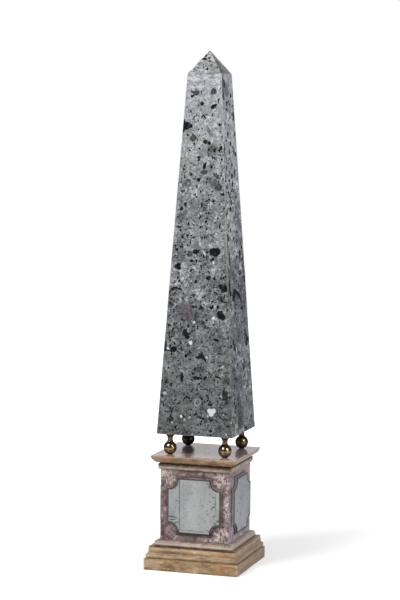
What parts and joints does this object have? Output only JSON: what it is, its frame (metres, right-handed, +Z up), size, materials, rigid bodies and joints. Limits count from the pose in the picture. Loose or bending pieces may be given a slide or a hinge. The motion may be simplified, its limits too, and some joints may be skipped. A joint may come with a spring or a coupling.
{
  "type": "table obelisk",
  "caption": "Tall tapering marble obelisk on turned brass ball feet, standing on a moulded square pedestal with a raised, notched tablet on each side of its die.",
  "frame": {"origin": "centre of the plinth's underside, on the surface that it stands on", "axes": "+Z up along the shaft to the tip; the front, with the pieced panel, faces -Y; +X to the right"},
  "size_m": [0.183, 0.183, 0.96],
  "materials": {
    "green_breccia": "polished grey-green breccia with dark and pale fragments",
    "core_stone": "sawn grey limestone",
    "rose_breccia": "polished rose breccia with white veins",
    "dark_grey_marble": "polished dark grey marble",
    "pale_green_marble": "honed pale grey-green marble with dark specks",
    "pink_brown_marble": "polished pink-brown marble",
    "yellow_marble": "polished ochre yellow marble, worn at the edges",
    "gilt_brass": "polished brass, darkened with age"
  },
  "bodies": {
    "root": {"ball_foot_back_left": "gilt_brass", "ball_foot_back_right": "gilt_brass", "ball_foot_front_left": "gilt_brass", "ball_foot_front_right": "gilt_brass", "base_moulding": "yellow_marble", "cap": "yellow_marble", "die_core": "core_stone", "die_foot_slab": "pink_brown_marble", "die_slab_back": "rose_breccia", "die_slab_front": "rose_breccia", "die_slab_left": "rose_breccia", "die_slab_right": "rose_breccia", "frame_back": "dark_grey_marble", "frame_front": "dark_grey_marble", "frame_left": "dark_grey_marble", "frame_right": "dark_grey_marble", "necking": "pink_brown_marble", "panel_back": "pale_green_marble", "panel_front": "pale_green_marble", "panel_front_strip": "pale_green_marble", "panel_left": "pale_green_marble", "panel_right": "pale_green_marble", "plinth": "yellow_marble", "pyramidion": "green_breccia", "shaft_core": "core_stone", "shaft_slab_back": "green_breccia", "shaft_slab_front": "green_breccia", "shaft_slab_left": "green_breccia", "shaft_slab_right": "green_breccia", "shaft_sole": "core_stone"}
  },
  "joints": []
}
